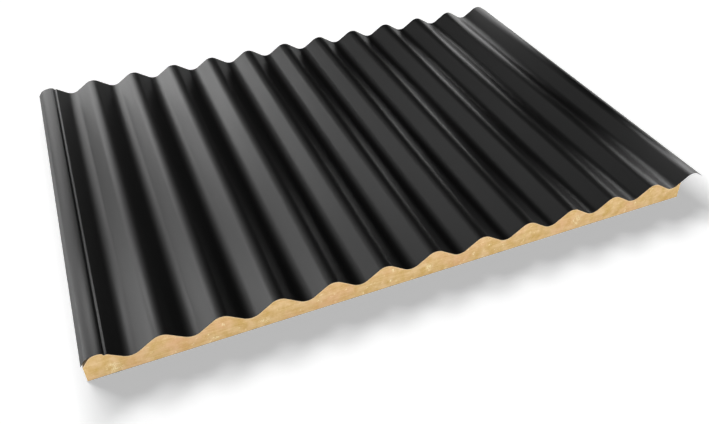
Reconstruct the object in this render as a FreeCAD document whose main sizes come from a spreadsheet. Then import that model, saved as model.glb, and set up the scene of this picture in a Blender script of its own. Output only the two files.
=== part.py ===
import FreeCAD, Part
import collections
import math
import os

import Sketcher

# Insulated corrugated roofing panel, lying flat with its weather side up.
# A coated steel sheet rolled in round waves carries a rigid foam that fills the waves from below,
# and a thin facing closes the foam underneath. X runs across the waves, Y along them, Z up.
# The origin is on the underside, in the middle of the panel's length and of the sheet's width.

SIZES = (
    ("wave_pitch", "76", "crest to crest"),
    ("wave_depth", "18", "valley to crest, on one face of the sheet"),
    ("crest_count", "13", "crests across the sheet, with the two that lap"),
    ("bend_radius", "18", "inside radius of each crest and valley"),
    ("sheet_thickness", "0.5", "coated steel"),
    ("panel_length", "700", "along the waves"),
    ("foam_thickness", "21.5", "foam under the valleys"),
    ("facing_thickness", "0.5", "lower facing"),
    ("lap_reach", "20.5", "sheet past the axis of its first and of its last crest"),
    ("foam_setback", "1.5", "sheet past the foam at the first crest"),
    ("joint_clearance", "0.5", "room between the foam and the next panel's sheet edge"),
    ("rib_crest_radius", "28", "inside radius of the first crest's outer half"),
    ("rib_shoulder_radius", "4", "inside radius of the bend at its outer shoulder"),
    ("rib_shoulder_offset", "11.5", "axis of that bend from the first crest's axis"),
    ("rib_flank_angle", "53", "slope of the first crest's outer flank, in degrees"),
    ("foam_shoulder_radius", "15", "rounding of the foam under the first crest's outer half"),
    ("groove_offset", "9.3", "axis of the drip groove from the first crest's axis"),
    ("groove_drop", "4.4", "bottom of the drip groove below the crest"),
    ("groove_radius", "2", "inside radius of the drip groove"),
    ("groove_lip_radius", "1.8", "inside radius of the bends on both sides of the groove"),
    ("groove_lip_rise", "0.4", "outer lip of the drip groove above its bottom"),
)

doc = FreeCAD.newDocument("insulated_roofing_panel")
sizes = doc.addObject("Spreadsheet::Sheet", "Sizes")
for row, (alias, number, meaning) in enumerate(SIZES, start=1):
    sizes.set(f"A{row}", alias)
    sizes.set(f"B{row}", number)
    sizes.set(f"C{row}", meaning)
    sizes.setAlias(f"B{row}", alias)
doc.recompute()

# Places that several pieces share. Heights are those of the sheet's underside.
HALF_COVER = "Sizes.wave_pitch * (Sizes.crest_count - 1) / 2"
HALF_PITCH = "Sizes.wave_pitch / 2"
VALLEY = "(Sizes.facing_thickness + Sizes.foam_thickness)"
CREST = f"({VALLEY} + Sizes.wave_depth)"
GROOVE = f"({CREST} - Sizes.groove_drop)"
VALLEY_AXIS = f"{VALLEY} + Sizes.bend_radius + Sizes.sheet_thickness"
CREST_AXIS = f"{CREST} - Sizes.bend_radius"
RIB_AXIS = f"{CREST} - Sizes.rib_crest_radius"
FOAM_SHOULDER_AXIS = f"{CREST} - Sizes.foam_shoulder_radius"
GROOVE_AXIS = f"{GROOVE} + Sizes.groove_radius + Sizes.sheet_thickness"
LIP_AXIS = f"{GROOVE} + Sizes.groove_lip_rise - Sizes.groove_lip_radius"
WING_TIP = f"{HALF_COVER} + Sizes.lap_reach"
FOAM_REACH = "Sizes.lap_reach - Sizes.foam_setback"
FOAM_END = f"{HALF_COVER} - Sizes.lap_reach - Sizes.joint_clearance"
FOAM_WIDTH = f"{HALF_COVER} + {FOAM_REACH} + {FOAM_END}"

# Names for the ends and the centre of a sketch's edges, its two axes and its origin.
START, END, CENTRE = range(1, 4)
UPRIGHT_AXIS, LEVEL_AXIS = range(-2, 0)
ORIGIN = (LEVEL_AXIS, START)

# Two bends that come closer than this touch, with no straight run between them.
SMALLEST_RUN = 1e-6

# A bend of the sheet: its axis, its inside radius as an expression, and whether it turns down.
Bend = collections.namedtuple("Bend", "x z inside_radius turns_down")


def value_of(expression):
    """The number that an expression on the sizes gives."""
    return float(sizes.evalExpression(expression))


def radius_on(bend, upper):
    """Radius of a bend on the upper or the lower face, as an expression."""
    is_outside = bend.turns_down == upper
    return bend.inside_radius + (" + Sizes.sheet_thickness" if is_outside else "")


def signed_radius(bend, upper):
    radius = value_of(radius_on(bend, upper))
    return radius if bend.turns_down else -radius


def slope_between(first, second):
    """Direction, in radians, in which one bend runs over into the next."""
    across = second.x - first.x
    rise = second.z - first.z
    share = (signed_radius(first, False) - signed_radius(second, False)) / math.hypot(across, rise)
    return math.atan2(rise, across) - math.asin(max(-1.0, min(1.0, share)))


def point_on(bend, slope, upper):
    """Where a face of the bend has the given slope."""
    reach = signed_radius(bend, upper)
    return FreeCAD.Vector(bend.x - reach * math.sin(slope), bend.z + reach * math.cos(slope), 0)


def draw_face(sketch, bends, first_slope, upper):
    """Draw one face of the sheet from left to right, level at its right end: an arc at each bend, and
    a straight run where two bends stand apart. Gives the arcs and the loose point at each end."""
    slopes = [first_slope]
    slopes += [slope_between(first, second) for first, second in zip(bends, bends[1:])]
    slopes += [0.0]
    edges = []
    arcs = []
    for bend, entering, leaving in zip(bends, slopes, slopes[1:]):
        entered_at = point_on(bend, entering, upper)
        if arcs and not entered_at.isEqual(left_at, SMALLEST_RUN):
            edges.append((add_run(sketch, left_at, entered_at), START, END))
        radius = abs(signed_radius(bend, upper))
        circle = Part.Circle(FreeCAD.Vector(bend.x, bend.z, 0), FreeCAD.Vector(0, 0, 1), radius)
        if bend.turns_down:
            turn = Part.ArcOfCircle(circle, leaving + math.pi / 2, entering + math.pi / 2)
        else:
            turn = Part.ArcOfCircle(circle, entering - math.pi / 2, leaving - math.pi / 2)
        arcs.append(sketch.addGeometry(turn))
        edges.append((arcs[-1], END, START) if bend.turns_down else (arcs[-1], START, END))
        bind(sketch, radius_on(bend, upper), "Radius", arcs[-1])
        left_at = point_on(bend, leaving, upper)
    for (edge, _, leaves), (follower, enters, _) in zip(edges, edges[1:]):
        sketch.addConstraint(Sketcher.Constraint("Tangent", edge, leaves, follower, enters))
    last_arc, _, last_end = edges[-1]
    sketch.addConstraint(Sketcher.Constraint("Vertical", last_arc, last_end, last_arc, CENTRE))
    return arcs, (edges[0][0], edges[0][1]), (last_arc, last_end)


def bind(sketch, expression, kind, *where):
    """Add a dimension to a sketch and tie it to the sizes."""
    number = value_of(expression)
    if kind == "Angle":
        number = math.radians(number)
    index = sketch.addConstraint(Sketcher.Constraint(kind, *where, number))
    sketch.setExpression(f"Constraints[{index}]", expression)


def add_run(sketch, start, end, *constraint_kinds):
    """Add a straight edge between two points and constrain it."""
    run = sketch.addGeometry(Part.LineSegment(start, end))
    for kind in constraint_kinds:
        sketch.addConstraint(Sketcher.Constraint(kind, run))
    return run


def join(sketch, first, second):
    sketch.addConstraint(Sketcher.Constraint("Coincident", *first, *second))


def close_between_faces(sketch, lower_end, upper_end):
    """Close the sheet's section with its cut edge."""
    edge = add_run(sketch, sketch.getPoint(*lower_end), sketch.getPoint(*upper_end))
    join(sketch, (edge, START), lower_end)
    join(sketch, (edge, END), upper_end)
    return edge


def close_below(sketch, left_end, right_end):
    """Close the foam's section with its two sides and its flat bottom on the facing."""
    top_left = sketch.getPoint(*left_end)
    top_right = sketch.getPoint(*right_end)
    bottom = value_of("Sizes.facing_thickness")
    bottom_left = FreeCAD.Vector(top_left.x, bottom, 0)
    bottom_right = FreeCAD.Vector(top_right.x, bottom, 0)
    left_side = add_run(sketch, top_left, bottom_left, "Vertical")
    floor = add_run(sketch, bottom_left, bottom_right, "Horizontal")
    right_side = add_run(sketch, bottom_right, top_right, "Vertical")
    join(sketch, left_end, (left_side, START))
    join(sketch, (left_side, END), (floor, START))
    join(sketch, (floor, END), (right_side, START))
    join(sketch, (right_side, END), right_end)
    bind(sketch, "Sizes.facing_thickness", "DistanceY", *ORIGIN, floor, START)


def section_sketch(body, label, axis_x):
    """A sketch across the waves, drawn about the crest at the given place."""
    sketch = body.newObject("Sketcher::SketchObject", f"{body.Name}_{label}")
    plane = next(plane for plane in body.Origin.OriginFeatures if plane.Role == "XZ_Plane")
    sketch.AttachmentSupport = [(plane, "")]
    sketch.MapMode = "FlatFace"
    sketch.setExpression("AttachmentOffset.Base.x", axis_x)
    return sketch


def wave_section(body, is_sheet):
    """One wave from valley to valley, about the second crest."""
    sketch = section_sketch(body, "wave", f"Sizes.wave_pitch - {HALF_COVER}")
    half_pitch = value_of(HALF_PITCH)
    valley_z = value_of(VALLEY_AXIS)
    bends = (
        Bend(-half_pitch, valley_z, "Sizes.bend_radius", False),
        Bend(0.0, value_of(CREST_AXIS), "Sizes.bend_radius", True),
        Bend(half_pitch, valley_z, "Sizes.bend_radius", False),
    )
    arcs, left, right = draw_face(sketch, bends, 0.0, upper=False)
    left_valley, crest, right_valley = arcs
    sketch.addConstraint(Sketcher.Constraint("Vertical", *left, left_valley, CENTRE))
    bind(sketch, HALF_PITCH, "DistanceX", left_valley, CENTRE, *ORIGIN)
    bind(sketch, VALLEY_AXIS, "DistanceY", *ORIGIN, left_valley, CENTRE)
    sketch.addConstraint(Sketcher.Constraint("PointOnObject", crest, CENTRE, UPRIGHT_AXIS))
    bind(sketch, CREST_AXIS, "DistanceY", *ORIGIN, crest, CENTRE)
    bind(sketch, HALF_PITCH, "DistanceX", *ORIGIN, right_valley, CENTRE)
    bind(sketch, VALLEY_AXIS, "DistanceY", *ORIGIN, right_valley, CENTRE)
    if not is_sheet:
        close_below(sketch, left, right)
        return sketch
    upper_arcs, upper_left, upper_right = draw_face(sketch, bends, 0.0, upper=True)
    for arc, upper_arc in zip(arcs, upper_arcs):
        join(sketch, (arc, CENTRE), (upper_arc, CENTRE))
    sketch.addConstraint(Sketcher.Constraint("Vertical", *upper_left, upper_arcs[0], CENTRE))
    close_between_faces(sketch, left, upper_left)
    close_between_faces(sketch, right, upper_right)
    return sketch


def outer_bends(is_sheet):
    """The outer half of the first crest. The sheet runs out in a wide arc to a tight shoulder bend, and
    the foam is rounded off below it, so that a narrow gap is left behind the sheet's first edge."""
    if not is_sheet:
        return (Bend(0.0, value_of(FOAM_SHOULDER_AXIS), "Sizes.foam_shoulder_radius", True),)
    offset = value_of("Sizes.rib_shoulder_offset")
    apart = value_of("Sizes.rib_crest_radius - Sizes.rib_shoulder_radius")
    rib_z = value_of(RIB_AXIS)
    return (
        Bend(-offset, rib_z + math.sqrt(apart**2 - offset**2), "Sizes.rib_shoulder_radius", True),
        Bend(0.0, rib_z, "Sizes.rib_crest_radius", True),
    )


def inner_bends():
    """The inner half of the first crest: the round crest and the drip groove between two small bends,
    from which the flank runs down to the first valley."""
    crest_radius = value_of("Sizes.bend_radius")
    lip_radius = value_of("Sizes.groove_lip_radius")
    contact = lip_radius + value_of("Sizes.groove_radius + Sizes.sheet_thickness")
    crest_z = value_of(CREST_AXIS)
    groove_x = value_of("Sizes.groove_offset")
    groove_z = value_of(GROOVE_AXIS)
    lip_z = value_of(LIP_AXIS)
    # The inner bend touches the crest from inside and the groove from outside.
    spread = math.hypot(groove_x, groove_z - crest_z)
    inside = crest_radius - lip_radius
    along = (inside**2 - contact**2 + spread**2) / (2 * spread)
    aside = math.sqrt(inside**2 - along**2)
    inner_x = (along * groove_x - aside * (groove_z - crest_z)) / spread
    inner_z = crest_z + (along * (groove_z - crest_z) + aside * groove_x) / spread
    outer_x = groove_x + math.sqrt(contact**2 - (groove_z - lip_z) ** 2)
    return (
        Bend(0.0, crest_z, "Sizes.bend_radius", True),
        Bend(inner_x, inner_z, "Sizes.groove_lip_radius", True),
        Bend(groove_x, groove_z, "Sizes.groove_radius", False),
        Bend(outer_x, lip_z, "Sizes.groove_lip_radius", True),
        Bend(value_of(HALF_PITCH), value_of(VALLEY_AXIS), "Sizes.bend_radius", False),
    )


def draw_outer_flank(sketch, face_start, shoulder, reach, upper):
    """Draw the straight flank that rises from the sheet's first edge to the shoulder."""
    slope = math.radians(value_of("Sizes.rib_flank_angle"))
    top = point_on(shoulder, slope, upper)
    run = top.x + value_of(reach)
    foot = FreeCAD.Vector(top.x - run, top.y - run * math.tan(slope), 0)
    flank = add_run(sketch, foot, top)
    sketch.addConstraint(Sketcher.Constraint("Tangent", flank, END, *face_start))
    return flank


def rib_section(body, is_sheet):
    """The first crest, which the next panel's wing covers, from its free edge to the first valley."""
    sketch = section_sketch(body, "first_crest", f"-({HALF_COVER})")
    bends = outer_bends(is_sheet) + inner_bends()
    slope = math.radians(value_of("Sizes.rib_flank_angle"))
    reach = "Sizes.lap_reach" if is_sheet else FOAM_REACH
    arcs, start, right = draw_face(sketch, bends, slope, upper=False)
    rib, crest, _, groove, outer, valley = arcs[-6:]
    flank = draw_outer_flank(sketch, start, bends[0], reach, upper=False)
    bind(sketch, "Sizes.rib_flank_angle", "Angle", flank)
    bind(sketch, reach, "DistanceX", flank, START, *ORIGIN)
    sketch.addConstraint(Sketcher.Constraint("PointOnObject", rib, CENTRE, UPRIGHT_AXIS))
    bind(sketch, RIB_AXIS if is_sheet else FOAM_SHOULDER_AXIS, "DistanceY", *ORIGIN, rib, CENTRE)
    sketch.addConstraint(Sketcher.Constraint("PointOnObject", crest, CENTRE, UPRIGHT_AXIS))
    bind(sketch, "Sizes.groove_offset", "DistanceX", *ORIGIN, groove, CENTRE)
    bind(sketch, GROOVE_AXIS, "DistanceY", *ORIGIN, groove, CENTRE)
    bind(sketch, LIP_AXIS, "DistanceY", *ORIGIN, outer, CENTRE)
    bind(sketch, HALF_PITCH, "DistanceX", *ORIGIN, valley, CENTRE)
    bind(sketch, VALLEY_AXIS, "DistanceY", *ORIGIN, valley, CENTRE)
    if not is_sheet:
        close_below(sketch, (flank, START), right)
        return sketch
    shoulder = arcs[0]
    bind(sketch, "Sizes.rib_shoulder_offset", "DistanceX", shoulder, CENTRE, *ORIGIN)
    upper_arcs, upper_start, upper_right = draw_face(sketch, bends, slope, upper=True)
    upper_flank = draw_outer_flank(sketch, upper_start, bends[0], reach, upper=True)
    sketch.addConstraint(Sketcher.Constraint("Parallel", flank, upper_flank))
    upper_shoulder, upper_rib, upper_crest, _, upper_groove, upper_outer, upper_valley = upper_arcs
    for arc, upper_arc in ((rib, upper_rib), (groove, upper_groove), (valley, upper_valley)):
        join(sketch, (arc, CENTRE), (upper_arc, CENTRE))
    sketch.addConstraint(Sketcher.Constraint("PointOnObject", upper_crest, CENTRE, UPRIGHT_AXIS))
    sketch.addConstraint(Sketcher.Constraint("Vertical", shoulder, CENTRE, upper_shoulder, CENTRE))
    sketch.addConstraint(Sketcher.Constraint("Horizontal", outer, CENTRE, upper_outer, CENTRE))
    free_edge = close_between_faces(sketch, (flank, START), (upper_flank, START))
    sketch.addConstraint(Sketcher.Constraint("Vertical", free_edge))
    close_between_faces(sketch, right, upper_right)
    return sketch


def pad(body, sketch):
    """Run a section along the whole panel, half each way."""
    feature = body.newObject("PartDesign::Pad", f"{sketch.Name}_pad")
    feature.Profile = sketch
    feature.SideType = "Symmetric"
    feature.setExpression("Length", "Sizes.panel_length")
    feature.Refine = True
    return feature


def repeat_waves(body, wave):
    """Repeat the wave across the panel, up to the last crest."""
    feature = body.newObject("PartDesign::LinearPattern", f"{body.Name}_waves")
    feature.Originals = [wave]
    axis = next(axis for axis in body.Origin.OriginFeatures if axis.Role == "X_Axis")
    feature.Direction = (axis, [""])
    feature.Mode = "Spacing"
    feature.setExpression("Offset", "Sizes.wave_pitch")
    feature.setExpression("Occurrences", "Sizes.crest_count - 1")
    feature.Refine = True
    body.Tip = feature
    return feature


def trim_last_wave(body, cut_x):
    """Cut the last wave off along the panel, from the given place outwards."""
    sketch = section_sketch(body, "trim", cut_x)
    width = value_of("Sizes.wave_pitch")
    height = value_of(CREST) * 2
    corners = [FreeCAD.Vector(x, z, 0) for x, z in ((0, 0), (width, 0), (width, height), (0, height))]
    kinds = ("Horizontal", "Vertical", "Horizontal", "Vertical")
    sides = []
    for corner, following, kind in zip(corners, corners[1:] + corners[:1], kinds):
        sides.append(add_run(sketch, corner, following, kind))
    for side, following in zip(sides, sides[1:] + sides[:1]):
        join(sketch, (side, END), (following, START))
    join(sketch, (sides[0], START), ORIGIN)
    bind(sketch, "Sizes.wave_pitch", "DistanceX", sides[0], START, sides[0], END)
    bind(sketch, f"{CREST} * 2", "DistanceY", sides[1], START, sides[1], END)
    feature = body.newObject("PartDesign::Pocket", f"{body.Name}_trim_cut")
    feature.Profile = sketch
    feature.SideType = "Symmetric"
    feature.Type = "ThroughAll"
    feature.Refine = True
    return feature


def waved_body(label, is_sheet, last_edge):
    """A piece that follows the waves: the sheet, or the foam that fills it from below."""
    body = doc.addObject("PartDesign::Body", label)
    body.Label = label
    wave = pad(body, wave_section(body, is_sheet))
    repeat_waves(body, wave)
    pad(body, rib_section(body, is_sheet))
    doc.recompute()
    untrimmed = body.Shape.Volume
    trim_last_wave(body, last_edge)
    doc.recompute()
    if not body.Shape.Volume < untrimmed:
        raise RuntimeError(f"{label}: the trim took nothing off")
    return body


# Sheet of coated steel, rolled as one piece: the grooved first crest that lies under the next
# panel, the waves, and the bare wing of the last crest that lies over the panel before it.
corrugated_sheet = waved_body("corrugated_sheet", True, WING_TIP)

# Rigid foam, foamed in place against the sheet's underside and cut square at both long edges.
foam_core = waved_body("foam_core", False, FOAM_END)

# Thin facing bonded under the foam, as wide and as long as the foam.
underside_facing = doc.addObject("Part::Box", "underside_facing")
underside_facing.Label = "underside_facing"
underside_facing.setExpression("Length", FOAM_WIDTH)
underside_facing.setExpression("Width", "Sizes.panel_length")
underside_facing.setExpression("Height", "Sizes.facing_thickness")
underside_facing.setExpression("Placement.Base.x", f"-({HALF_COVER} + {FOAM_REACH})")
underside_facing.setExpression("Placement.Base.y", "-Sizes.panel_length / 2")

doc.recompute()
for item in doc.Objects:
    if "Invalid" in item.State or "Error" in item.State:
        raise RuntimeError(f"{item.Name} failed: {item.State}")
    if item.isDerivedFrom("Sketcher::SketchObject") and not item.FullyConstrained:
        raise RuntimeError(f"{item.Name} is not fully constrained")

pieces = (corrugated_sheet, foam_core, underside_facing)
for piece in pieces:
    if piece.Shape.isNull() or not piece.Shape.isValid():
        raise RuntimeError(f"{piece.Label} has no valid shape")

os.makedirs("parts", exist_ok=True)
for piece in pieces:
    piece.Shape.exportStep(f"parts/{piece.Label}.step")
    box = piece.Shape.BoundBox
    print(f"{piece.Label}: {len(piece.Shape.Solids)} solid, {piece.Shape.Volume / 1000:.1f} cm3,",
          f"{box.XLength:.2f} x {box.YLength:.2f} x {box.ZLength:.2f} mm")
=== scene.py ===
import math

import bmesh
import bpy
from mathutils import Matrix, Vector, noise


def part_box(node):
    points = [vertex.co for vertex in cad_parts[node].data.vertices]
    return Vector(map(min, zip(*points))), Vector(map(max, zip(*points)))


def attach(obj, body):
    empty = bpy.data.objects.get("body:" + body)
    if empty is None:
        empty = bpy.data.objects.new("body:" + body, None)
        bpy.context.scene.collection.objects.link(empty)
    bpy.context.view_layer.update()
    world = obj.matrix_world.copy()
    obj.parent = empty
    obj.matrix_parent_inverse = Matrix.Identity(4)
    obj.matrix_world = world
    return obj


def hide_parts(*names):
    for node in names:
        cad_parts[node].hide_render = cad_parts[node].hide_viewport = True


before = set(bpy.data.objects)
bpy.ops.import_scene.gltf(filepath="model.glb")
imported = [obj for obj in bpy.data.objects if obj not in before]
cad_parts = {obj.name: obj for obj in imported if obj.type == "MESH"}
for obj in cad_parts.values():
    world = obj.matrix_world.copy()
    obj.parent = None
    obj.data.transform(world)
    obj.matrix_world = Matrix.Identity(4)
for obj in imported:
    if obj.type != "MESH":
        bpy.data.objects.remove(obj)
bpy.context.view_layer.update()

# Corrugated sheet: half a millimetre of galvanised steel, coil coated in satin black on the weather
# side and in dark grey on the reverse, and rolled as one piece. The foam holds it from below. Its first
# crest has a drip groove and a bent lip, and its last crest runs on past the foam as a bare wing.
MM = 0.001
PANEL_LENGTH = 700
SHEET_THICKNESS = 0.5
WAVE_PITCH, WAVE_COUNT = 76, 12
FIRST_CREST = -WAVE_PITCH * WAVE_COUNT / 2
CREST_Z, CREST_RADIUS = 22.0, 18.0
VALLEY_Z, VALLEY_RADIUS = 40.5, -18.5
# Slopes of the section in degrees, rising to the right: at the lip and over the first crest's shoulder,
# at the groove's brink, down its wall and out of it, on the flank after it, and on every other flank.
LIP_SLOPE, SHOULDER_SLOPE = 53, 28.631
GROOVE_BRINK, GROOVE_WALL, GROOVE_RISE = -18.197, -80.493, 24.909
FIRST_FLANK, WAVE_SLOPE = -34.125, 33.767
LIP_EDGE_Z = 27.769
SHEET_FACET, FEWEST_FACETS, LENGTH_PARTS = 1.0, 5, 14
SAME_PLACE = 0.001 * MM


def points_in(made):
    """The vertices among what an operator has made."""
    return [item for item in made if isinstance(item, bmesh.types.BMVert)]


def draw_bends(section, tip, bends, facet):
    """Carry a section line on from its tip: straight to where each bend begins, then round its axis.
    A bend is its axis x and z, its radius, below zero where the line turns up, and the slopes in
    degrees at which the line enters and leaves it. Facets are about as long as asked."""
    for x, z, radius, entering, leaving in bends:
        axis = Vector((x, 0, z)) * MM
        slope = math.radians(entering)
        start = axis + Vector((-math.sin(slope), 0, math.cos(slope))) * radius * MM
        run = bmesh.ops.extrude_vert_indiv(section, verts=[tip])["verts"]
        bmesh.ops.translate(section, verts=run, vec=start - tip.co)
        turn = math.radians(entering - leaving)
        steps = max(FEWEST_FACETS, round(abs(radius * turn) / facet))
        swept = bmesh.ops.spin(section, geom=run, cent=axis, axis=(0, 1, 0), angle=turn, steps=steps)
        tip = points_in(swept["geom_last"])[0]
    return tip


def draw_end(section, tip, x, slope):
    """Carry a section line on, straight along a slope in degrees, to its end."""
    run = x * MM - tip.co.x
    end = bmesh.ops.extrude_vert_indiv(section, verts=[tip])["verts"]
    bmesh.ops.translate(section, verts=end, vec=(run, 0, run * math.tan(math.radians(slope))))
    bmesh.ops.remove_doubles(section, verts=section.verts[:], dist=SAME_PLACE)


# The sheet's underside, which the foam follows from the first crest's top to the last flank.
lip_bends = [
    (FIRST_CREST - 11.5, 33.065, 4, LIP_SLOPE, SHOULDER_SLOPE),
    (FIRST_CREST, 12, 28, SHOULDER_SLOPE, 0),
]
groove_bends = [
    (FIRST_CREST, CREST_Z, CREST_RADIUS, 0, GROOVE_BRINK),
    (FIRST_CREST + 5.059, 37.39, 1.8, GROOVE_BRINK, GROOVE_WALL),
    (FIRST_CREST + 9.3, 38.1, -2.5, GROOVE_WALL, GROOVE_RISE),
    (FIRST_CREST + 11.111, 34.2, 1.8, GROOVE_RISE, FIRST_FLANK),
]
wave_bends = []
for wave in range(WAVE_COUNT):
    valley = FIRST_CREST + (wave + 0.5) * WAVE_PITCH
    entering = FIRST_FLANK if wave == 0 else -WAVE_SLOPE
    wave_bends.append((valley, VALLEY_Z, VALLEY_RADIUS, entering, WAVE_SLOPE))
    wave_bends.append((valley + WAVE_PITCH / 2, CREST_Z, CREST_RADIUS, WAVE_SLOPE, -WAVE_SLOPE))

sheet_low, sheet_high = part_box("corrugated_sheet")
sheet_mesh = bmesh.new()
first_edge = sheet_mesh.verts.new((sheet_low.x, 0, LIP_EDGE_Z * MM))
sheet_bends = lip_bends + groove_bends + wave_bends
last_bend = draw_bends(sheet_mesh, first_edge, sheet_bends, SHEET_FACET)
draw_end(sheet_mesh, last_bend, sheet_high.x / MM, -WAVE_SLOPE)
bmesh.ops.translate(sheet_mesh, verts=sheet_mesh.verts[:], vec=(0, sheet_low.y, 0))
front = sheet_mesh.edges[:]
for part in range(LENGTH_PARTS):
    rolled = bmesh.ops.extrude_edge_only(sheet_mesh, edges=front)["geom"]
    moved = points_in(rolled)
    bmesh.ops.translate(sheet_mesh, verts=moved, vec=(0, PANEL_LENGTH * MM / LENGTH_PARTS, 0))
    ends = set(moved)
    rolled_edges = [item for item in rolled if isinstance(item, bmesh.types.BMEdge)]
    front = [edge for edge in rolled_edges if ends.issuperset(edge.verts)]
bmesh.ops.recalc_face_normals(sheet_mesh, faces=sheet_mesh.faces[:])
sheet_mesh.faces.ensure_lookup_table()
if sheet_mesh.faces[0].normal.z > 0:
    bmesh.ops.reverse_faces(sheet_mesh, faces=sheet_mesh.faces[:])
bmesh.ops.solidify(sheet_mesh, geom=sheet_mesh.faces[:], thickness=SHEET_THICKNESS * MM)

# The long edges are cut upright: what the thickness puts past them goes back along its slope.
for side, edge_x, slope in ((-1, sheet_low.x, LIP_SLOPE), (1, sheet_high.x, -WAVE_SLOPE)):
    proud = [vert for vert in sheet_mesh.verts if (vert.co.x - edge_x) * side > 10 * SAME_PLACE]
    run = edge_x - proud[0].co.x
    bmesh.ops.translate(sheet_mesh, verts=proud, vec=(run, 0, run * math.tan(math.radians(slope))))
sheet_mesh.normal_update()
COATED, REVERSE, SHEARED = 0, 1, 2
EDGE_REACH = 0.2
for face in sheet_mesh.faces:
    middle = face.calc_center_median()
    at_long_edge = min(middle.x - sheet_low.x, sheet_high.x - middle.x) < EDGE_REACH * MM
    at_end = abs(face.normal.y) > 0.9
    if at_end or at_long_edge:
        face.material_index = SHEARED
    else:
        face.material_index = REVERSE if face.normal.z < 0 else COATED


def make_object(name, mesh, sharp_angle):
    """Turn a mesh into an object, smooth but for the edges over an angle in degrees."""
    for face in mesh.faces:
        face.smooth = True
    data = bpy.data.meshes.new(name)
    mesh.to_mesh(data)
    mesh.free()
    data.set_sharp_from_angle(angle=math.radians(sharp_angle))
    made = bpy.data.objects.new(name, data)
    bpy.context.scene.collection.objects.link(made)
    return made


coated_sheet = make_object("coated_sheet", sheet_mesh, sharp_angle=40)


def linear(hex_code):
    """The linear colour that a shader takes, from an sRGB hex value."""
    parts = [int(hex_code[place:place + 2], 16) / 255 for place in (1, 3, 5)]
    lit = [part / 12.92 if part <= 0.04045 else ((part + 0.055) / 1.055) ** 2.4 for part in parts]
    return lit + [1.0]


def add_node(tree, kind, inputs, **settings):
    """Add a node with its settings. Each input is a plain value or the output that feeds it."""
    node = tree.nodes.new(kind)
    for name, setting in settings.items():
        setattr(node, name, setting)
    for socket, given in inputs.items():
        if isinstance(given, bpy.types.NodeSocket):
            tree.links.new(given, node.inputs[socket])
        else:
            node.inputs[socket].default_value = given
    return node


def start_material(name):
    """Begin a material: itself, its tree, its shader and the Object coordinates of its patterns."""
    material = bpy.data.materials.new(name)
    material.use_nodes = True
    tree = material.node_tree
    place = add_node(tree, "ShaderNodeTexCoord", {}).outputs["Object"]
    return material, tree, tree.nodes["Principled BSDF"], place


# The sockets of a Mix node set to colours: its share, its two colours and its result.
SHARE, COLOUR_A, COLOUR_B, MIXED = 0, 6, 7, 2

# Coil coating: satin black polyester, roller coated and baked. The eye sees soft, long reflections
# with a faint orange peel, and gloss that wanders a little in bands along the rolling direction.
coating, tree, shader, place = start_material("satin_black_coil_coating")
BAND_WIDTH, BAND_LENGTH = 30, 300
PEEL_PITCH, PEEL_DEPTH = 2.0, 0.02
stretch = add_node(tree, "ShaderNodeMapping", {
    "Vector": place,
    "Scale": (1 / (BAND_WIDTH * MM), 1 / (BAND_LENGTH * MM), 1 / (BAND_WIDTH * MM)),
})
bands = add_node(tree, "ShaderNodeTexNoise", {
    "Vector": stretch.outputs[0], "Scale": 1.0, "Detail": 2.0,
})
gloss = add_node(tree, "ShaderNodeMapRange", {
    "Value": bands.outputs[0], "From Min": 0.3, "From Max": 0.7, "To Min": 0.43, "To Max": 0.48,
})
tone = add_node(tree, "ShaderNodeMix", {
    SHARE: bands.outputs[0], COLOUR_A: linear("#050505"), COLOUR_B: linear("#080808"),
}, data_type="RGBA")
peel = add_node(tree, "ShaderNodeTexNoise", {
    "Vector": place, "Scale": 1 / (PEEL_PITCH * MM), "Detail": 1.0,
})
skin = add_node(tree, "ShaderNodeBump", {
    "Height": peel.outputs[0], "Strength": 0.25, "Distance": PEEL_DEPTH * MM,
})
tree.links.new(tone.outputs[MIXED], shader.inputs["Base Color"])
tree.links.new(gloss.outputs[0], shader.inputs["Roughness"])
tree.links.new(skin.outputs[0], shader.inputs["Normal"])
shader.inputs["IOR"].default_value = 1.5

# Reverse coat: thin dark grey epoxy backing, matt, with a faint roller grain. The grain is really
# finer than a millimetre, and drawn coarser so that it shows.
backing, tree, shader, place = start_material("grey_epoxy_backing_coat")
GRAIN_PITCH = 4.0
grain = add_node(tree, "ShaderNodeTexNoise", {
    "Vector": place, "Scale": 1 / (GRAIN_PITCH * MM), "Detail": 3.0,
})
tone = add_node(tree, "ShaderNodeMix", {
    SHARE: grain.outputs[0], COLOUR_A: linear("#2e2e2f"), COLOUR_B: linear("#3b3b3c"),
}, data_type="RGBA")
tree.links.new(tone.outputs[MIXED], shader.inputs["Base Color"])
shader.inputs["Roughness"].default_value = 0.6

# Sheared edge: bare steel and zinc, with the fine mottle of burnished and torn metal that the shear
# leaves.
# Its tone is painted shade: near black, far darker than bare metal. The mottle is really a tenth of a
# millimetre, and drawn coarser so that it shows.
sheared, tree, shader, place = start_material("sheared_steel_painted_shade")
SHEAR_PITCH = 0.6
marks = add_node(tree, "ShaderNodeTexNoise", {
    "Vector": place, "Scale": 1 / (SHEAR_PITCH * MM), "Detail": 2.0,
})
# The near-black tones are painted shade of the edge.
tone = add_node(tree, "ShaderNodeMix", {
    SHARE: marks.outputs[0], COLOUR_A: linear("#141415"), COLOUR_B: linear("#2a2a2b"),
}, data_type="RGBA")
tree.links.new(tone.outputs[MIXED], shader.inputs["Base Color"])
shader.inputs["Metallic"].default_value = 1.0
shader.inputs["Roughness"].default_value = 0.5

for finish in (coating, backing, sheared):
    coated_sheet.data.materials.append(finish)
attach(coated_sheet, "root")
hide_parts("corrugated_sheet")

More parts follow.
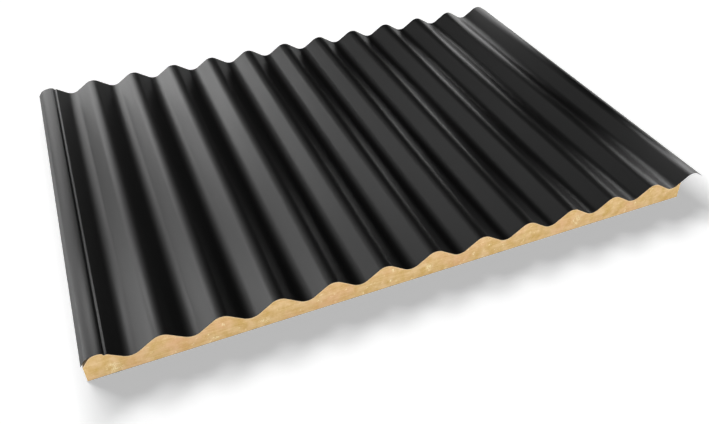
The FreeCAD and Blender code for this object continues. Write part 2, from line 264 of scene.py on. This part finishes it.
# Foam core: rigid closed-cell polyurethane, foamed in place under the sheet and sawn off square at
# both ends and both long sides. It fills every wave, and only behind the sheet's first lip does it
# stand back, rounded, by a few millimetres.
foam_low, foam_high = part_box("foam_core")
FOAM_EDGE_Z = 24.711
FOAM_FACET, FOAM_ROWS, SIDE_STEP = 1.8, 20, 2.0
X, Y = 0, 1


def lies_on(vert, axis, place):
    """Whether a point lies at a place along an axis."""
    return abs(vert.co[axis] - place) < SAME_PLACE


foam_mesh = bmesh.new()
depth = foam_mesh.verts.layers.float.new("depth")
first_edge = foam_mesh.verts.new((foam_low.x, 0, FOAM_EDGE_Z * MM))
shoulder = [(FIRST_CREST, 25, 15, LIP_SLOPE, 0)]
foam_bends = shoulder + groove_bends + wave_bends[:-1]
last_bend = draw_bends(foam_mesh, first_edge, foam_bends, FOAM_FACET)
draw_end(foam_mesh, last_bend, foam_high.x / MM, WAVE_SLOPE)
for edge in foam_mesh.edges[:]:
    parts = round(edge.calc_length() / (FOAM_FACET * MM))
    if parts > 1:
        bmesh.ops.subdivide_edges(foam_mesh, edges=[edge], cuts=parts - 1)
bmesh.ops.translate(foam_mesh, verts=foam_mesh.verts[:], vec=(0, foam_low.y, 0))
bottom = points_in(bmesh.ops.extrude_edge_only(foam_mesh, edges=foam_mesh.edges[:])["geom"])
for vert in bottom:
    vert[depth] = vert.co.z - foam_low.z
bmesh.ops.scale(foam_mesh, vec=(1, 1, 0), verts=bottom)
bmesh.ops.translate(foam_mesh, verts=bottom, vec=(0, 0, foam_low.z))
upright = [edge for edge in foam_mesh.edges if lies_on(edge.verts[0], X, edge.verts[1].co.x)]
bmesh.ops.subdivide_edges(foam_mesh, edges=upright, cuts=FOAM_ROWS - 1, use_grid_fill=True)
moved = points_in(bmesh.ops.extrude_face_region(foam_mesh, geom=foam_mesh.faces[:])["geom"])
bmesh.ops.translate(foam_mesh, verts=moved, vec=(0, PANEL_LENGTH * MM, 0))
lengthwise = [edge for edge in foam_mesh.edges if not lies_on(edge.verts[0], Y, edge.verts[1].co.y)]
long_sides = [
    edge for edge in lengthwise
    if lies_on(edge.verts[0], X, foam_low.x) or lies_on(edge.verts[0], X, foam_high.x)
]
side_cuts = round(PANEL_LENGTH / SIDE_STEP) - 1
bmesh.ops.subdivide_edges(foam_mesh, edges=long_sides, cuts=side_cuts, use_grid_fill=True)

# The relief of the sawn faces in millimetres: how far the saw bites on the whole, and the size and
# depth of the foam's flow, its torn cells and its pits. Real cells are about 0.3 mm, and these are drawn
# coarser, as the mesh can hold them.
CUT_DEPTH = 0.25
FLOW_SIZE, FLOW_DEPTH = 11, 0.12
CELL_SIZE, CELL_DEPTH = 2.8, 0.14
PIT_SIZE, PIT_DEPTH, PIT_START = 6, 0.8, 0.3
PIT_SHIFT = Vector((7, 3, 5))
# Where the saw has broken crumbs out of the front end: x and z in millimetres, and the reach.
BROKEN_SPOTS = ((-441, 9, 13), (-250, 9, 9), (-12, 14, 10), (238, 17, 11))
BROKEN_DEPTH, BROKEN_GAIN = 1.2, 1.6
RAGGED_SIZE, RAGGED_MEAN, RAGGED_SWING = 4.5, 0.5, 1.1
BREAK_SIZE, BREAK_MEAN, BREAK_SWING = 1.9, 0.6, 0.6


def broken_share(spot):
    """How far a spot of the front end lies inside a broken place, from 0 to 1."""
    nearest = max(
        1 - math.dist((spot.x, spot.z), (x * MM, z * MM)) / (reach * MM)
        for x, z, reach in BROKEN_SPOTS
    )
    ragged = RAGGED_MEAN + RAGGED_SWING * noise.noise(spot / (RAGGED_SIZE * MM))
    return min(1.0, max(0.0, BROKEN_GAIN * nearest * ragged))


def torn_depth(spot):
    """How deep the saw has torn the cells open at a spot of a cut face."""
    flow = noise.fractal(spot / (FLOW_SIZE * MM), 1.0, 2.0, 3)
    cells = noise.noise(spot / (CELL_SIZE * MM))
    pits = max(0.0, noise.noise(spot / (PIT_SIZE * MM) + PIT_SHIFT) - PIT_START)
    torn = CUT_DEPTH + FLOW_DEPTH * flow + CELL_DEPTH * cells + PIT_DEPTH * pits
    return max(0.0, torn) * MM


broken = foam_mesh.verts.layers.float.new("broken")
for vert in foam_mesh.verts:
    spot = vert.co.copy()
    if lies_on(vert, Y, foam_low.y):
        vert[broken] = broken_share(spot)
        crumbs = BREAK_MEAN + BREAK_SWING * noise.noise(spot / (BREAK_SIZE * MM))
        vert.co.y += torn_depth(spot) + vert[broken] * crumbs * BROKEN_DEPTH * MM
    elif lies_on(vert, Y, foam_high.y):
        vert.co.y -= torn_depth(spot)
    if lies_on(vert, X, foam_low.x):
        vert.co.x += torn_depth(spot)
    elif lies_on(vert, X, foam_high.x):
        vert.co.x -= torn_depth(spot)
bmesh.ops.recalc_face_normals(foam_mesh, faces=foam_mesh.faces[:])
sawn_foam = make_object("sawn_foam", foam_mesh, sharp_angle=50)
# The foam throws no warm light on the floor, so the panel's shadow stays grey.
sawn_foam.visible_diffuse = False

# Sawn polyurethane foam: sandy yellow and dead matt. The eye sees soft cloudy patches where the foam
# rose, faint saw marks along the cut, pale crumbs, and a paler, denser skin where it grew against the
# sheet and the facing. The torn cells in the broken places are a painted highlight, drawn near white.
# Cells and saw marks are drawn coarser than the real ones, which are finer than a millimetre, so that
# they show.
foam, tree, shader, place = start_material("sawn_polyurethane_foam")
CLOUD_SIZE, BLUSH_SIZE, CRUMB_SIZE = 12, 45, 1.8
SAW_PITCH, SAW_LENGTH = 1.6, 28
SKIN_START, SKIN_DEPTH = 0.8, 2.0
FOOT_START, FOOT_HEIGHT = 0.5, 1.8
PORE_DEPTH = 0.3
clouds = add_node(tree, "ShaderNodeTexNoise", {
    "Vector": place, "Scale": 1 / (CLOUD_SIZE * MM), "Detail": 4.0,
})
blush = add_node(tree, "ShaderNodeTexNoise", {
    "Vector": place, "Scale": 1 / (BLUSH_SIZE * MM), "Detail": 2.0,
})
crumbs = add_node(tree, "ShaderNodeTexNoise", {
    "Vector": place, "Scale": 1 / (CRUMB_SIZE * MM), "Detail": 2.0,
})
drawn = add_node(tree, "ShaderNodeMapping", {
    "Vector": place,
    "Scale": (1 / (SAW_LENGTH * MM), 1 / (SAW_LENGTH * MM), 1 / (SAW_PITCH * MM)),
})
saw = add_node(tree, "ShaderNodeTexNoise", {
    "Vector": drawn.outputs[0], "Scale": 1.0, "Detail": 2.0,
})
cloud_share = add_node(tree, "ShaderNodeMapRange", {
    "Value": clouds.outputs[0], "From Min": 0.35, "From Max": 0.65,
})
blush_share = add_node(tree, "ShaderNodeMapRange", {
    "Value": blush.outputs[0], "From Min": 0.45, "From Max": 0.75, "To Max": 0.6,
})
saw_share = add_node(tree, "ShaderNodeMapRange", {
    "Value": saw.outputs[0], "From Min": 0.5, "From Max": 0.72, "To Max": 0.5,
})
crumb_share = add_node(tree, "ShaderNodeMapRange", {
    "Value": crumbs.outputs[0], "From Min": 0.55, "From Max": 0.8, "To Max": 0.45,
})
broken_out = add_node(tree, "ShaderNodeAttribute", {}, attribute_name="broken")
crumb_edge = add_node(tree, "ShaderNodeMapRange", {
    "Value": crumbs.outputs[0], "From Min": 0.42, "From Max": 0.62,
})
# Painted highlight: the torn cells in the broken places, drawn near white.
broken_highlight_share = add_node(tree, "ShaderNodeMath", {
    0: broken_out.outputs["Fac"], 1: crumb_edge.outputs[0],
}, operation="MULTIPLY")
below_sheet = add_node(tree, "ShaderNodeAttribute", {}, attribute_name="depth")
skin_share = add_node(tree, "ShaderNodeMapRange", {
    "Value": below_sheet.outputs["Fac"], "From Min": SKIN_START * MM, "From Max": SKIN_DEPTH * MM,
    "To Min": 0.9, "To Max": 0.0,
})
height = add_node(tree, "ShaderNodeSeparateXYZ", {0: place})
foot_share = add_node(tree, "ShaderNodeMapRange", {
    "Value": height.outputs["Z"], "From Min": FOOT_START * MM, "From Max": FOOT_HEIGHT * MM,
    "To Min": 0.6, "To Max": 0.0,
})
shade = add_node(tree, "ShaderNodeMix", {
    SHARE: cloud_share.outputs[0], COLOUR_A: linear("#cda762"), COLOUR_B: linear("#e0be8c"),
}, data_type="RGBA")
for share, hex_code in (
    (blush_share, "#e4b08a"),
    (saw_share, "#ebcf9c"),
    (crumb_share, "#efd7a6"),
    (broken_highlight_share, "#fff0c0"),
    (skin_share, "#ebcda2"),
    (foot_share, "#ecc79a"),
):
    shade = add_node(tree, "ShaderNodeMix", {
        SHARE: share.outputs[0], COLOUR_A: shade.outputs[MIXED], COLOUR_B: linear(hex_code),
    }, data_type="RGBA")
grit = add_node(tree, "ShaderNodeMath", {0: crumbs.outputs[0], 1: saw.outputs[0]}, operation="ADD")
pores = add_node(tree, "ShaderNodeBump", {
    "Height": grit.outputs[0], "Strength": 0.4, "Distance": PORE_DEPTH * MM,
})
tree.links.new(shade.outputs[MIXED], shader.inputs["Base Color"])
tree.links.new(pores.outputs[0], shader.inputs["Normal"])
shader.inputs["Roughness"].default_value = 0.9
shader.inputs["Specular IOR Level"].default_value = 0.2
sawn_foam.data.materials.append(foam)
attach(sawn_foam, "root")
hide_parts("foam_core")

# Underside facing: a thin grey laminate of paper and foil, laid flat under the foam and bonded to it as
# it rose. The solid from the CAD model has the right shape, so it only gets its finish here.
facing_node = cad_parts["underside_facing"]

# Laminated facing: matt grey paper over foil. The eye sees broad soft tones and a faint grain of fibres,
# which are really a tenth of this size and drawn coarser so that they show.
facing, tree, shader, place = start_material("grey_laminated_facing")
FIBRE_SIZE, FIBRE_DEPTH, CREASE_SIZE = 1.5, 0.1, 40
fibres = add_node(tree, "ShaderNodeTexNoise", {
    "Vector": place, "Scale": 1 / (FIBRE_SIZE * MM), "Detail": 4.0,
})
creases = add_node(tree, "ShaderNodeTexNoise", {
    "Vector": place, "Scale": 1 / (CREASE_SIZE * MM), "Detail": 3.0,
})
tone = add_node(tree, "ShaderNodeMix", {
    SHARE: creases.outputs[0], COLOUR_A: linear("#94938f"), COLOUR_B: linear("#b3b2ad"),
}, data_type="RGBA")
grain = add_node(tree, "ShaderNodeBump", {
    "Height": fibres.outputs[0], "Strength": 0.3, "Distance": FIBRE_DEPTH * MM,
})
tree.links.new(tone.outputs[MIXED], shader.inputs["Base Color"])
tree.links.new(grain.outputs[0], shader.inputs["Normal"])
shader.inputs["Roughness"].default_value = 0.55
facing_node.material_slots[0].material = facing

# Floor: one wide white sheet under the panel. It shows itself lighter than it is lit, to the camera
# and in reflections, so that it is white outside the panel's soft shadow.
FLOOR_REACH, FLOOR_DROP = 40.0, 0.2
FLOOR_GREY, FLOOR_LIFT = 0.85, 0.47
floor_mesh = bmesh.new()
bmesh.ops.create_grid(floor_mesh, x_segments=1, y_segments=1, size=FLOOR_REACH)
bmesh.ops.translate(floor_mesh, verts=floor_mesh.verts[:], vec=(0, 0, -FLOOR_DROP * MM))
floor = make_object("floor", floor_mesh, sharp_angle=30)


def stage_material(name, grey, strength):
    """A matt stage surface that shows itself whiter to the camera, in reflections and through glass."""
    material = bpy.data.materials.new(name)
    material.use_nodes = True
    tree = material.node_tree
    ray = add_node(tree, "ShaderNodeLightPath", {})
    seen = add_node(tree, "ShaderNodeMath", {
        0: ray.outputs["Is Camera Ray"], 1: ray.outputs["Is Glossy Ray"],
    }, operation="MAXIMUM")
    shown = add_node(tree, "ShaderNodeMath", {
        0: seen.outputs[0], 1: ray.outputs["Is Transmission Ray"],
    }, operation="MAXIMUM")
    lift = add_node(tree, "ShaderNodeMath", {
        0: shown.outputs[0], 1: strength,
    }, operation="MULTIPLY")
    shader = tree.nodes["Principled BSDF"]
    shader.inputs["Base Color"].default_value = (grey, grey, grey, 1.0)
    shader.inputs["Roughness"].default_value = 1.0
    shader.inputs["Specular IOR Level"].default_value = 0.0
    shader.inputs["Emission Color"].default_value = (1.0, 1.0, 1.0, 1.0)
    tree.links.new(lift.outputs[0], shader.inputs["Emission Strength"])
    return material


floor.data.materials.append(stage_material("white_floor", grey=FLOOR_GREY, strength=FLOOR_LIFT))

# Backdrop: a low white screen all round, far off, where the floor ends. In level views it stands
# between the floor and the dark room.
SCREEN_RADIUS, SCREEN_HEIGHT, SCREEN_SIDES = 38.0, 1.6, 96
screen_mesh = bmesh.new()
bmesh.ops.create_circle(screen_mesh, segments=SCREEN_SIDES, radius=SCREEN_RADIUS)
raised = points_in(bmesh.ops.extrude_edge_only(screen_mesh, edges=screen_mesh.edges[:])["geom"])
bmesh.ops.translate(screen_mesh, verts=raised, vec=(0, 0, SCREEN_HEIGHT))
backdrop = make_object("backdrop", screen_mesh, sharp_angle=30)
backdrop.visible_shadow = False
backdrop.data.materials.append(stage_material("white_screen", grey=0.0, strength=1.0))

# Studio: a dark room. A row of soft keys behind lights the floor alone and lays the panel's shadow
# forward. The panel has lamps of its own: fills for the foam's front end and right side, softboxes all
# round that the waves reflect, and small kickers that graze the outer waves.
ROOM_LIGHT = 0.02
world = bpy.data.worlds.new("dark_studio")
bpy.context.scene.world = world
world.use_nodes = True
room = world.node_tree.nodes["Background"]
room.inputs["Color"].default_value = (1.0, 1.0, 1.0, 1.0)
room.inputs["Strength"].default_value = ROOM_LIGHT


def lit_group(name, pieces):
    """A collection of the objects that a lamp lights."""
    group = bpy.data.collections.new(name)
    for piece in pieces:
        group.objects.link(piece)
    return group


lit_floor = lit_group("lit_floor", [floor])
lit_sheet = lit_group("lit_sheet", [coated_sheet])
lit_core = lit_group("lit_core", [sawn_foam, facing_node])
lit_panel = lit_group("lit_panel", [coated_sheet, sawn_foam, facing_node])


def add_lamp(name, kind, place, aim, lights, **settings):
    """Add a lamp at a place, aimed at a point, for the objects that it lights. The camera never
    sees the lamp itself."""
    lamp = bpy.data.objects.new(name, bpy.data.lights.new(name, kind))
    for setting, given in settings.items():
        setattr(lamp.data, setting, given)
    lamp.location = place
    lamp.rotation_euler = (Vector(aim) - Vector(place)).to_track_quat("-Z", "Y").to_euler()
    lamp.visible_camera = False
    lamp.light_linking.receiver_collection = lights
    bpy.context.scene.collection.objects.link(lamp)


# The keys stand in degrees above the floor and to the right of straight behind.
KEY_HEIGHT, KEY_SIDES = 24, (-38, -25, -12, 1, 13)
KEY_STRENGTH, KEY_SPREAD, KEY_DISTANCE = 5.2, 12, 4
for side in KEY_SIDES:
    reach = math.cos(math.radians(KEY_HEIGHT))
    towards = Vector((
        math.sin(math.radians(side)) * reach,
        math.cos(math.radians(side)) * reach,
        math.sin(math.radians(KEY_HEIGHT)),
    ))
    add_lamp("key", "SUN", towards * KEY_DISTANCE, (0, 0, 0), lit_floor,
             energy=KEY_STRENGTH / len(KEY_SIDES), angle=math.radians(KEY_SPREAD))

# The panel's lamps: name, place, aim, width and height in metres, brightness, and what it lights.
softboxes = [
    ("fill", (0.2, -3.0, 0.5), (0, -0.35, 0), 2.6, 1.2, 8.1, lit_core),
    ("right_fill", (3.0, -0.4, 0.7), (0.43, 0, 0.01), 1.2, 1.2, 8.0, lit_core),
    ("left_softbox", (-1.5, 0.6, 0.4), (-0.3, 0.24, 0.03), 0.6, 0.6, 6.5, lit_sheet),
    ("low_softbox", (-0.6, 1.3, 0.3), (-0.24, 0, 0.03), 0.6, 0.6, 3.5, lit_panel),
    ("middle_softbox", (-1.2, 1.3, 0.9), (-0.48, 0, 0.03), 0.6, 0.6, 2.4, lit_panel),
    ("corner_softbox", (-1.8, 1.3, 1.2), (-0.72, 0, 0.03), 0.6, 1.2, 1.7, lit_panel),
    ("tall_softbox", (-0.7, 1.3, 1.8), (-0.28, 0, 0.03), 0.6, 1.2, 1.5, lit_panel),
    ("dim_softbox", (0, 1.3, 1.5), (0, 0, 0.03), 0.6, 1.8, 0.37, lit_panel),
    ("front_left_softbox", (-1.4, -1.8, 0.8), (0, 0, 0.03), 0.9, 0.6, 4.5, lit_sheet),
    ("front_softbox", (0, -2.2, 0.9), (0, 0, 0.03), 0.9, 0.6, 4.5, lit_sheet),
    ("front_right_softbox", (1.5, -1.7, 0.8), (0, 0, 0.03), 0.9, 0.6, 4.5, lit_sheet),
    ("left_back_kicker", (-0.41, 0.56, 0.2), (-0.4, 0.25, 0.03), 0.16, 0.1, 1.4, lit_sheet),
    ("left_front_kicker", (-0.48, -0.085, 0.24), (-0.43, -0.3, 0.03), 0.12, 0.08, 6.5, lit_sheet),
    ("right_back_kicker", (0.54, 0.4, 0.11), (0.4, 0.17, 0.03), 0.22, 0.14, 2.5, lit_sheet),
    ("right_front_kicker", (0.53, -0.2, 0.18), (0.4, -0.33, 0.03), 0.16, 0.1, 3.8, lit_sheet),
    ("right_low_kicker", (0.53, -0.32, 0.1), (0.4, -0.33, 0.03), 0.16, 0.1, 3.0, lit_sheet),
]
for name, place, aim, width, height, brightness, lights in softboxes:
    add_lamp(name, "AREA", place, aim, lights, energy=math.pi * width * height * brightness,
             shape="RECTANGLE", size=width, size_y=height)

# Camera: at the photograph's place, above and in front of the panel's left half. The lens and the shift
# give the photograph's frame, from its focal length and optical axis in pixels.
IMAGE_WIDTH, IMAGE_HEIGHT = 709, 424
FOCAL_PIXELS = 745.93
AXIS_X, AXIS_Y = 388.41, 204.20
SENSOR_WIDTH = 36
CAMERA_PLACE = Vector((-374.6, -1029.9, 734.8))
LOOK_DOWN, LOOK_RIGHT = 38.294, 23.924
camera = bpy.data.objects.new("camera", bpy.data.cameras.new("camera"))
camera.data.sensor_fit = "HORIZONTAL"
camera.data.sensor_width = SENSOR_WIDTH
camera.data.lens = FOCAL_PIXELS * SENSOR_WIDTH / IMAGE_WIDTH
camera.data.shift_x = (IMAGE_WIDTH / 2 - AXIS_X) / IMAGE_WIDTH
camera.data.shift_y = (AXIS_Y - IMAGE_HEIGHT / 2) / IMAGE_WIDTH
camera.location = CAMERA_PLACE * MM
camera.rotation_euler = (math.radians(90 - LOOK_DOWN), 0, math.radians(-LOOK_RIGHT))
bpy.context.scene.collection.objects.link(camera)
bpy.context.scene.camera = camera
bpy.context.scene.view_settings.view_transform = "Standard"
